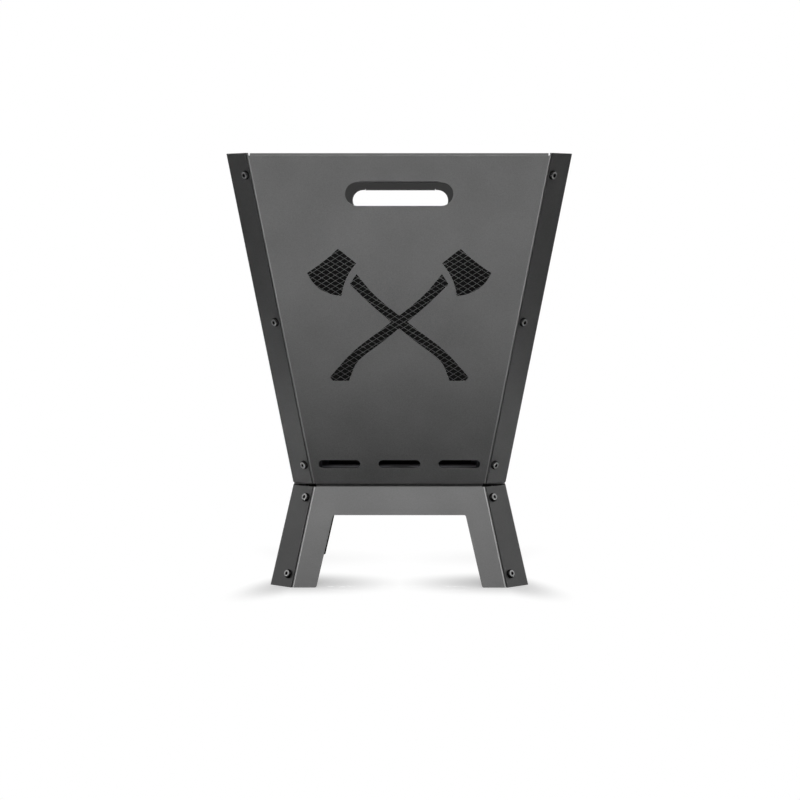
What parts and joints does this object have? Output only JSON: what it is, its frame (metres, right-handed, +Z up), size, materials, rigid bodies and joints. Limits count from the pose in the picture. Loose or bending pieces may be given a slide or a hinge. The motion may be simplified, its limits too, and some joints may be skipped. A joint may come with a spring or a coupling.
{
  "type": "fire basket",
  "caption": "Square tapered fire basket of folded dark sheet steel on a splayed leg base, with handle slots, vents and a crossed-axes opening backed by mesh.",
  "frame": {"origin": "on the floor under the middle of the basket", "axes": "+Z up, the crossed-axes panel faces -Y, +X is the viewer's right"},
  "size_m": [0.3956, 0.3956, 0.5033],
  "materials": {
    "heat_paint": "fine textured heat-resistant paint",
    "mesh_steel": "bare expanded metal",
    "fastener_steel": "bright zinc plate",
    "raw_steel": "mill finish"
  },
  "bodies": {
    "basket": {"front_panel": "heat_paint", "right_panel": "heat_paint", "rear_panel": "heat_paint", "left_panel": "heat_paint", "leg_frame_front": "heat_paint", "leg_frame_right": "heat_paint", "leg_frame_rear": "heat_paint", "leg_frame_left": "heat_paint", "basket_screw_front_right_top": "fastener_steel", "basket_screw_front_right_middle": "fastener_steel", "basket_screw_front_right_bottom": "fastener_steel", "basket_screw_rear_right_top": "fastener_steel", "basket_screw_rear_right_middle": "fastener_steel", "basket_screw_rear_right_bottom": "fastener_steel", "basket_screw_rear_left_top": "fastener_steel", "basket_screw_rear_left_middle": "fastener_steel", "basket_screw_rear_left_bottom": "fastener_steel", "basket_screw_front_left_top": "fastener_steel", "basket_screw_front_left_middle": "fastener_steel", "basket_screw_front_left_bottom": "fastener_steel", "leg_screw_front_right_upper": "fastener_steel", "leg_screw_front_right_lower": "fastener_steel", "leg_screw_rear_right_upper": "fastener_steel", "leg_screw_rear_right_lower": "fastener_steel", "leg_screw_rear_left_upper": "fastener_steel", "leg_screw_rear_left_lower": "fastener_steel", "leg_screw_front_left_upper": "fastener_steel", "leg_screw_front_left_lower": "fastener_steel", "basket_nut_front_right_top": "fastener_steel", "basket_nut_front_right_middle": "fastener_steel", "basket_nut_front_right_bottom": "fastener_steel", "basket_nut_rear_right_top": "fastener_steel", "basket_nut_rear_right_middle": "fastener_steel", "basket_nut_rear_right_bottom": "fastener_steel", "basket_nut_rear_left_top": "fastener_steel", "basket_nut_rear_left_middle": "fastener_steel", "basket_nut_rear_left_bottom": "fastener_steel", "basket_nut_front_left_top": "fastener_steel", "basket_nut_front_left_middle": "fastener_steel", "basket_nut_front_left_bottom": "fastener_steel", "leg_nut_front_right_upper": "fastener_steel", "leg_nut_front_right_lower": "fastener_steel", "leg_nut_rear_right_upper": "fastener_steel", "leg_nut_rear_right_lower": "fastener_steel", "leg_nut_rear_left_upper": "fastener_steel", "leg_nut_rear_left_lower": "fastener_steel", "leg_nut_front_left_upper": "fastener_steel", "leg_nut_front_left_lower": "fastener_steel", "waist_stud_front": "fastener_steel", "waist_stud_right": "fastener_steel", "waist_stud_rear": "fastener_steel", "waist_stud_left": "fastener_steel", "waist_nut_front": "fastener_steel", "waist_nut_right": "fastener_steel", "waist_nut_rear": "fastener_steel", "waist_nut_left": "fastener_steel", "spark_mesh": "mesh_steel"},
    "grate": {"fire_grate": "raw_steel"},
    "tray": {"ash_tray": "raw_steel"}
  },
  "joints": [
    {"name": "grate_lift", "type": "slide", "parent": "basket", "child": "grate", "axis": [0, 0, 1], "range_m": [0, 0.5]},
    {"name": "tray_lift", "type": "slide", "parent": "basket", "child": "tray", "axis": [0, 0, 1], "range_m": [0, 0.43]}
  ],
  "couplings": [
    {"joint": "tray_lift", "follows": "grate_lift", "ratio": 0.85}
  ]
}
